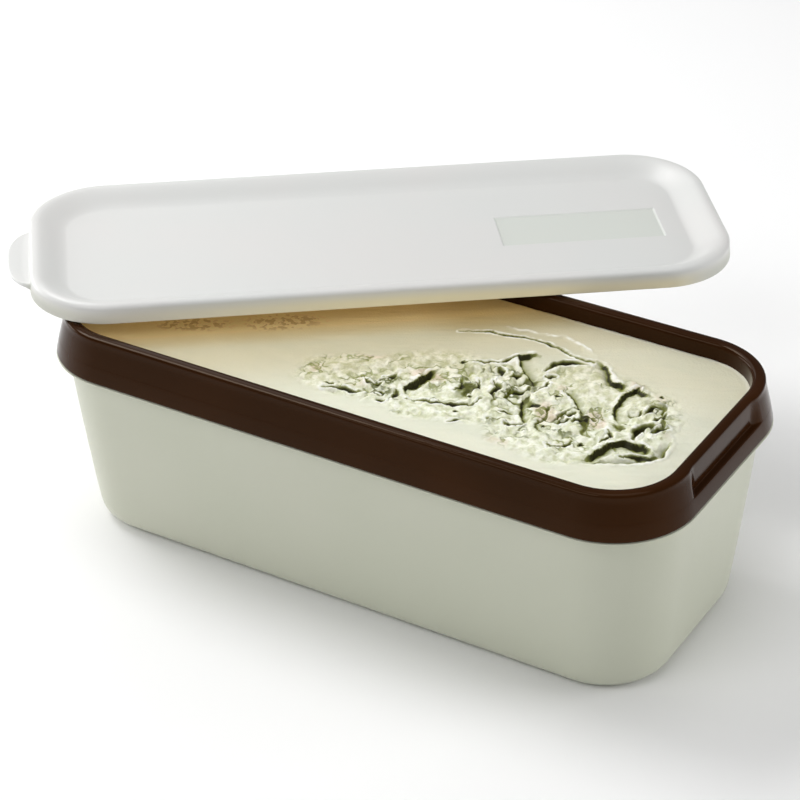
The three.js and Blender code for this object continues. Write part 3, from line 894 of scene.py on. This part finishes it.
def noise_node(tree, vector, scale, detail=3.0, roughness=0.5, stretch=(1, 1, 1)):
    """Noise on the given coordinates, finer along the axes with a larger stretch."""
    mapping = tree.nodes.new("ShaderNodeMapping")
    mapping.inputs["Scale"].default_value = stretch
    texture = tree.nodes.new("ShaderNodeTexNoise")
    texture.inputs["Scale"].default_value = scale
    texture.inputs["Detail"].default_value = detail
    texture.inputs["Roughness"].default_value = roughness
    link(tree, vector, mapping.inputs["Vector"])
    link(tree, mapping.outputs["Vector"], texture.inputs["Vector"])
    return texture.outputs["Fac"]


def remap(tree, value, low, high, to_low=0.0, to_high=1.0):
    """A smooth step of a socket's value from low to high, onto the range given last."""
    node = tree.nodes.new("ShaderNodeMapRange")
    node.interpolation_type = "SMOOTHSTEP"
    for label, number in (("From Min", low), ("From Max", high), ("To Min", to_low),
                          ("To Max", to_high)):
        node.inputs[label].default_value = number
    link(tree, value, node.inputs["Value"])
    return node.outputs["Result"]


def calculate(tree, operation, first, second):
    """A Math node on two sockets or numbers."""
    node = tree.nodes.new("ShaderNodeMath")
    node.operation = operation
    for socket, value in zip(node.inputs, (first, second)):
        if isinstance(value, (int, float)):
            socket.default_value = value
        else:
            link(tree, value, socket)
    return node.outputs["Value"]


def times(tree, first, second):
    """The product of two sockets or numbers."""
    return calculate(tree, "MULTIPLY", first, second)


def blend_colour(tree, share, first, second, mode="MIX"):
    """Mixes two colours, each a socket or an RGB triple, by a socket or number."""
    node = tree.nodes.new("ShaderNodeMix")
    node.data_type = "RGBA"
    node.blend_type = mode
    for label, value in (("Factor_Float", share), ("A_Color", first), ("B_Color", second)):
        socket = next(s for s in node.inputs if s.identifier == label)
        if isinstance(value, tuple):
            socket.default_value = (*value, 1.0)
        elif isinstance(value, (int, float)):
            socket.default_value = value
        else:
            link(tree, value, socket)
    return next(s for s in node.outputs if s.identifier == "Result_Color")


def moulded_group():
    """Moulded plastic: a cloudy change of colour, a fine orange-peel height on slow ripples,
    and a roughness that wanders with handling marks."""
    group, given, result = new_group(
        "moulded_plastic",
        {"Coordinates": "vector", "Colour": "colour", "Cloud Colour": "colour",
         "Cloudiness": "value", "Roughness": "value", "Handling": "value"},
        {"Colour": "colour", "Roughness": "value", "Height": "value"})
    place = given.outputs["Coordinates"]
    cloud = remap(group, noise_node(group, place, 14, 2), 0.35, 0.65)
    share = times(group, cloud, given.outputs["Cloudiness"])
    colour = blend_colour(group, share, given.outputs["Colour"], given.outputs["Cloud Colour"])
    marks = noise_node(group, place, 90, 4, 0.65, (1, 1, 0.4))
    swing = times(group, calculate(group, "SUBTRACT", marks, 0.5), given.outputs["Handling"])
    rough = calculate(group, "ADD", given.outputs["Roughness"], swing)
    peel = noise_node(group, place, 900, 2)
    ripple = times(group, noise_node(group, place, 60, 1), 2.0)
    height = calculate(group, "ADD", peel, ripple)
    link(group, colour, result.inputs["Colour"])
    link(group, rough, result.inputs["Roughness"])
    link(group, height, result.inputs["Height"])
    return group


def start_material(name):
    """A material with its shader, and the object coordinates."""
    material = bpy.data.materials.new(name)
    material.use_nodes = True
    tree = material.node_tree
    shader = tree.nodes["Principled BSDF"]
    place = tree.nodes.new("ShaderNodeTexCoord").outputs["Object"]
    return material, tree, shader, place


def add_bump(tree, shader, height, distance, strength=1.0):
    """Bends the shader's normal by a height, where 1 stands for the distance in metres."""
    bump = tree.nodes.new("ShaderNodeBump")
    bump.inputs["Distance"].default_value = distance
    bump.inputs["Strength"].default_value = strength
    link(tree, height, bump.inputs["Height"])
    link(tree, bump.outputs["Normal"], shader.inputs["Normal"])


def plastic(name, group, colour, cloud, cloudiness, roughness, handling, peel):
    """A moulded plastic with its own colour, gloss and depth of orange peel in metres."""
    material, tree, shader, place = start_material(name)
    node = tree.nodes.new("ShaderNodeGroup")
    node.node_tree = group
    link(tree, place, node.inputs["Coordinates"])
    node.inputs["Colour"].default_value = (*colour, 1)
    node.inputs["Cloud Colour"].default_value = (*cloud, 1)
    node.inputs["Cloudiness"].default_value = cloudiness
    node.inputs["Roughness"].default_value = roughness
    node.inputs["Handling"].default_value = handling
    link(tree, node.outputs["Colour"], shader.inputs["Base Color"])
    link(tree, node.outputs["Roughness"], shader.inputs["Roughness"])
    add_bump(tree, shader, node.outputs["Height"], peel)
    return material, tree, shader, node.outputs["Colour"]


# The plastics' colours
TUB_GREY = (0.555, 0.566, 0.463)
TUB_CLOUD = (0.525, 0.545, 0.435)
BAND_BROWN = (0.025, 0.0080, 0.0018)
BAND_CLOUD = (0.037, 0.0120, 0.0030)
BAND_SHINE = (1.0, 0.78, 0.55)
LID_WHITE = (0.68, 0.675, 0.66)
LID_CLOUD = (0.66, 0.675, 0.66)
# Painted light on the lid: beige bounce light low on the skirt, grey shade low on its ends
LID_BOUNCE_BEIGE = (0.86, 0.78, 0.55)
LID_END_SHADE = (0.48, 0.49, 0.43)
LABEL_GREEN = (0.60, 0.64, 0.58)


def tub_plastic(group):
    """The tub's satin grey-beige plastic."""
    return plastic("satin_tub_plastic", group, TUB_GREY, TUB_CLOUD,
                   cloudiness=0.5, roughness=0.34, handling=0.12, peel=0.00002)[0]


def band_plastic(group):
    """The band's glossy dark brown plastic, with a weak and warm reflection."""
    material, _, shader, _ = plastic("gloss_band_plastic", group, BAND_BROWN, BAND_CLOUD,
                                     cloudiness=0.8, roughness=0.14, handling=0.08, peel=0.00001)
    shader.inputs["Specular IOR Level"].default_value = 0.13
    shader.inputs["Specular Tint"].default_value = (*BAND_SHINE, 1)
    return material


def lid_plastic(group):
    """The lid's satin off-white plastic: a painted beige bounce light low on the skirt's near
    side, where it faces the cream, a painted grey shade low on the short ends, and faintly
    green in the label's recess."""
    material, tree, shader, colour = plastic(
        "satin_lid_plastic", group, LID_WHITE, LID_CLOUD,
        cloudiness=0.6, roughness=0.36, handling=0.12, peel=0.00002)
    near, ends, label, _ = mask_sockets(tree, "lid_places")
    # Painted bounce light, beige low on the skirt's near side
    colour = blend_colour(tree, near, colour, LID_BOUNCE_BEIGE)
    # Painted shade, grey low on the short ends
    colour = blend_colour(tree, ends, colour, LID_END_SHADE)
    colour = blend_colour(tree, times(tree, label, 0.6), colour, LABEL_GREEN)
    link(tree, colour, shader.inputs["Base Color"])
    return material


def mask_sockets(tree, name):
    """The red, green, blue and alpha of a colour attribute."""
    masks = tree.nodes.new("ShaderNodeAttribute")
    masks.attribute_name = name
    split = tree.nodes.new("ShaderNodeSeparateColor")
    link(tree, masks.outputs["Color"], split.inputs["Color"])
    return [split.outputs[k] for k in ("Red", "Green", "Blue")] + [masks.outputs["Alpha"]]


def creases(tree, place, scale, half, where):
    """Winding lines where one noise crosses its middle value, kept where another is high."""
    value = calculate(tree, "SUBTRACT", noise_node(tree, place, scale, 2), 0.5)
    line = remap(tree, calculate(tree, "ABSOLUTE", value, 0.0), half, 0.25 * half)
    kept = remap(tree, noise_node(tree, place, where, 1), 0.47, 0.60)
    return times(tree, line, kept)


# The cream's colours
CALM = (0.81, 0.81, 0.655)
CALM_CLOUD = (0.75, 0.765, 0.62)
TORN_PALE = (0.98, 0.99, 0.86)
TORN_OLIVE = (0.62, 0.64, 0.41)
WIDE_SHADE = (0.78, 0.71, 0.60)
PINK_STAIN = (0.86, 0.58, 0.50)
# A painted highlight on the cuts' lips
LIP_HIGHLIGHT = (1.0, 1.0, 0.95)
# Painted olive shade in the hollows
HOLLOW_SHADE = (0.37, 0.41, 0.07)
# Painted olive shade in the fine creases and between crumbs
CREASE_SHADE = (0.21, 0.24, 0.03)
CRUMB_SHADE = (0.11, 0.13, 0.012)
# Painted shade in the cuts, olive and then brown-black
CUT_SHADE_OLIVE = (0.18, 0.20, 0.015)
CUT_SHADE_BLACK = (0.024, 0.023, 0.001)
# A painted highlight along the band
WALL_HIGHLIGHT = (0.92, 0.90, 0.76)
# Painted warm shade under the lid
COVERED_SHADE_TAN = (0.96, 0.75, 0.37)
DEEP_SHADE = (0.76, 0.71, 0.60)
GRIT_BROWN = (0.52, 0.33, 0.13)
GLOW = (0.035, 0.022, 0.008)
DEEP_GLOW = (0.08, 0.05, 0.017)


def cream_material():
    """Frozen cream: yellow-beige and faintly streaked where it is calm, paler and flecked where
    it is torn. Its masks lay the other colours over that in turn: a painted shade over the wide
    area by the lid and towards the back, pink stains, painted highlights on the lips, painted
    olive shade in hollows, creases and between crumbs, painted brown-black shade in the cuts, a
    painted highlight along the band, painted orange-tan shade beside the lid, a painted deeper
    shade further along under it, and brown grit beside the lid. Under the lid a faint glow stands
    for the light that soaks through the cream. The bump is a fine grain, with lumps where it is
    torn, less the creases and the grit."""
    material, tree, shader, place = start_material("frozen_cream")
    sunken, cut_shade, lip, torn = mask_sockets(tree, "cream_relief")
    covered, near_wall, shaded, deep = mask_sockets(tree, "cream_place")
    rough, lively, rubble, _ = mask_sockets(tree, "cream_grain")
    streak = remap(tree, noise_node(tree, place, 40, 4, 0.6, (0.35, 1.0, 1.0)), 0.35, 0.65)
    fleck = remap(tree, noise_node(tree, place, 300, 3, 0.6), 0.3, 0.7)
    pink = remap(tree, noise_node(tree, place, 70, 1), 0.60, 0.72, 0, 0.35)
    broken_up = remap(tree, noise_node(tree, place, 220, 2), 0.38, 0.6, 0.2, 1.0)
    crease = times(tree, creases(tree, place, 150, 0.035, 70), torn)
    crumb = times(tree, creases(tree, place, 210, 0.075, 120), rubble)
    grit = times(tree, remap(tree, noise_node(tree, place, 480, 1), 0.46, 0.58), rough)

    calm = blend_colour(tree, streak, CALM, CALM_CLOUD)
    broken = blend_colour(tree, fleck, TORN_PALE, TORN_OLIVE)
    colour = blend_colour(tree, torn, calm, broken)
    layers = [
        # Painted shade by the lid and towards the back
        (shaded, WIDE_SHADE, "MULTIPLY"),
        (times(tree, pink, torn), PINK_STAIN, "MIX"),
        # Painted highlight on the lips of the cuts, broken up by noise
        (times(tree, remap(tree, lip, 0.1, 0.9, 0, 0.7), broken_up), LIP_HIGHLIGHT, "MIX"),
        # Painted olive shade in the hollows
        (remap(tree, sunken, 0.03, 0.85, 0, 0.78), HOLLOW_SHADE, "MIX"),
        # Painted olive shade in the creases and between the crumbs
        (times(tree, crease, 0.75), CREASE_SHADE, "MIX"),
        (times(tree, crumb, 0.9), CRUMB_SHADE, "MIX"),
        # Painted shade in the cuts, olive and then brown-black at the deepest
        (remap(tree, cut_shade, 0.0, 0.6, 0, 0.9), CUT_SHADE_OLIVE, "MIX"),
        (remap(tree, cut_shade, 0.46, 0.95), CUT_SHADE_BLACK, "MIX"),
        # Painted highlight beside the band
        (remap(tree, near_wall, 0, 1, 0, 0.6), WALL_HIGHLIGHT, "MIX"),
        # Painted warm shade under the lid's near edge
        (covered, COVERED_SHADE_TAN, "MIX"),
        # Painted deeper shade further along under the lid
        (deep, DEEP_SHADE, "MULTIPLY"),
        (times(tree, grit, 0.8), GRIT_BROWN, "MIX"),
    ]
    for share, tone, mode in layers:
        colour = blend_colour(tree, share, colour, tone, mode)
    link(tree, colour, shader.inputs["Base Color"])

    glow = blend_colour(tree, covered, (0.0, 0.0, 0.0), GLOW)
    glow = blend_colour(tree, remap(tree, covered, 0.8, 1.0), glow, DEEP_GLOW)
    link(tree, glow, shader.inputs["Emission Color"])
    shader.inputs["Emission Strength"].default_value = 1.0
    moist = remap(tree, noise_node(tree, place, 180, 3), 0.3, 0.7, 0.45, 0.65)
    link(tree, moist, shader.inputs["Roughness"])
    shader.inputs["Specular IOR Level"].default_value = 0.3
    shader.inputs["Subsurface Weight"].default_value = 0.05
    shader.inputs["Subsurface Scale"].default_value = 0.002
    shader.inputs["Subsurface Radius"].default_value = (1.0, 0.7, 0.35)

    grain = times(tree, noise_node(tree, place, 1300, 3, 0.6), 0.7)
    lumps = times(tree, times(tree, noise_node(tree, place, 420, 3, 0.6), lively), 1.1)
    lines = times(tree, calculate(tree, "MAXIMUM", crease, crumb), 1.2)
    height = calculate(tree, "ADD", grain, lumps)
    height = calculate(tree, "SUBTRACT", height, calculate(tree, "MAXIMUM", lines, grit))
    add_bump(tree, shader, height, 0.0005, 0.6)
    return material


def dress(piece, node, material):
    """Gives a piece its material and slot, lets it stand for a node, and rides it on the part."""
    piece.data.materials.append(material)
    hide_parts(node)
    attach(piece, "root")


# The studio
def grey(tone):
    """A neutral colour."""
    return (tone, tone, tone)


def aim(thing, target):
    """Turns a light or camera at a place until it looks at the target."""
    direction = Vector(target) - thing.location
    thing.rotation_mode = "QUATERNION"
    thing.rotation_quaternion = direction.to_track_quat("-Z", "Y")


def area_light(name, place, size, power, mirrored):
    """A soft lamp aimed at the tub, which glossy surfaces mirror or not."""
    light = bpy.data.lights.new(name, "AREA")
    light.shape = "RECTANGLE"
    light.size, light.size_y = size
    light.energy = power
    lamp = bpy.data.objects.new(name, light)
    lamp.location = place
    lamp.visible_glossy = mirrored
    bpy.context.scene.collection.objects.link(lamp)
    aim(lamp, LAMP_TARGET)


def studio():
    """A pale floor, soft lamps, and a grey dome that is brighter near the horizon than above,
    dim in reflections and white where the camera sees it."""
    corners = [[-1, -1, 0], [1, -1, 0], [1, 1, 0], [-1, 1, 0]]
    floor = make_piece("floor", np.array(corners) * FLOOR_HALF / MM, [[0, 1, 2, 3]])
    material, _, shader, _ = start_material("studio_floor")
    shader.inputs["Base Color"].default_value = (*grey(FLOOR_GREY), 1)
    shader.inputs["Roughness"].default_value = 0.8
    shader.inputs["Specular IOR Level"].default_value = 0.1
    floor.data.materials.append(material)
    world = bpy.data.worlds.new("studio_dome")
    bpy.context.scene.world = world
    world.use_nodes = True
    tree = world.node_tree
    background = tree.nodes["Background"]
    direction = tree.nodes.new("ShaderNodeTexCoord").outputs["Generated"]
    split = tree.nodes.new("ShaderNodeSeparateXYZ")
    link(tree, direction, split.inputs["Vector"])
    rise = remap(tree, split.outputs["Z"], 0.1, 0.75)
    colour = blend_colour(tree, rise, grey(DOME_LOW), grey(DOME_HIGH))
    ray = tree.nodes.new("ShaderNodeLightPath")
    colour = blend_colour(tree, ray.outputs["Is Glossy Ray"], colour, grey(DOME_MIRRORED))
    colour = blend_colour(tree, ray.outputs["Is Camera Ray"], colour, grey(BACKDROP))
    link(tree, colour, background.inputs["Color"])
    background.inputs["Strength"].default_value = 1.0
    for lamp in LAMPS:
        area_light(*lamp)
    bpy.context.scene.view_settings.view_transform = "Standard"


def photo_camera():
    """The camera looks at the tub from its azimuth and elevation, rolled, and moved sideways
    and up by its shift."""
    azimuth, elevation = math.radians(VIEW_AZIMUTH), math.radians(VIEW_ELEVATION)
    back = np.array([math.sin(azimuth) * math.cos(elevation),
                     -math.cos(azimuth) * math.cos(elevation), math.sin(elevation)])
    right = unit(np.cross(-back, [0, 0, 1]))
    upright = np.cross(right, -back)
    roll = math.radians(VIEW_ROLL)
    right, upright = (math.cos(roll) * right + math.sin(roll) * upright,
                      math.cos(roll) * upright - math.sin(roll) * right)
    place = np.array([0, 0, VIEW_AIM]) + back * VIEW_DISTANCE
    place = place + right * VIEW_SHIFT[0] + upright * VIEW_SHIFT[1]
    data = bpy.data.cameras.new("photo_camera")
    data.lens = LENS
    data.sensor_width = 36.0
    data.clip_start, data.clip_end = 0.05, 20.0
    camera = bpy.data.objects.new("photo_camera", data)
    bpy.context.scene.collection.objects.link(camera)
    turned = Matrix(np.stack([right, upright, back], 1).tolist()).to_4x4()
    camera.matrix_world = Matrix.Translation(Vector(place * MM)) @ turned
    bpy.context.scene.camera = camera


photo_camera()
studio()
moulded = moulded_group()
dress(tub_body(), "tub_body", tub_plastic(moulded))
dress(rim_band(), "rim_band", band_plastic(moulded))
dress(ice_cream(), "ice_cream", cream_material())
dress(lid_shell(), "lid", lid_plastic(moulded))
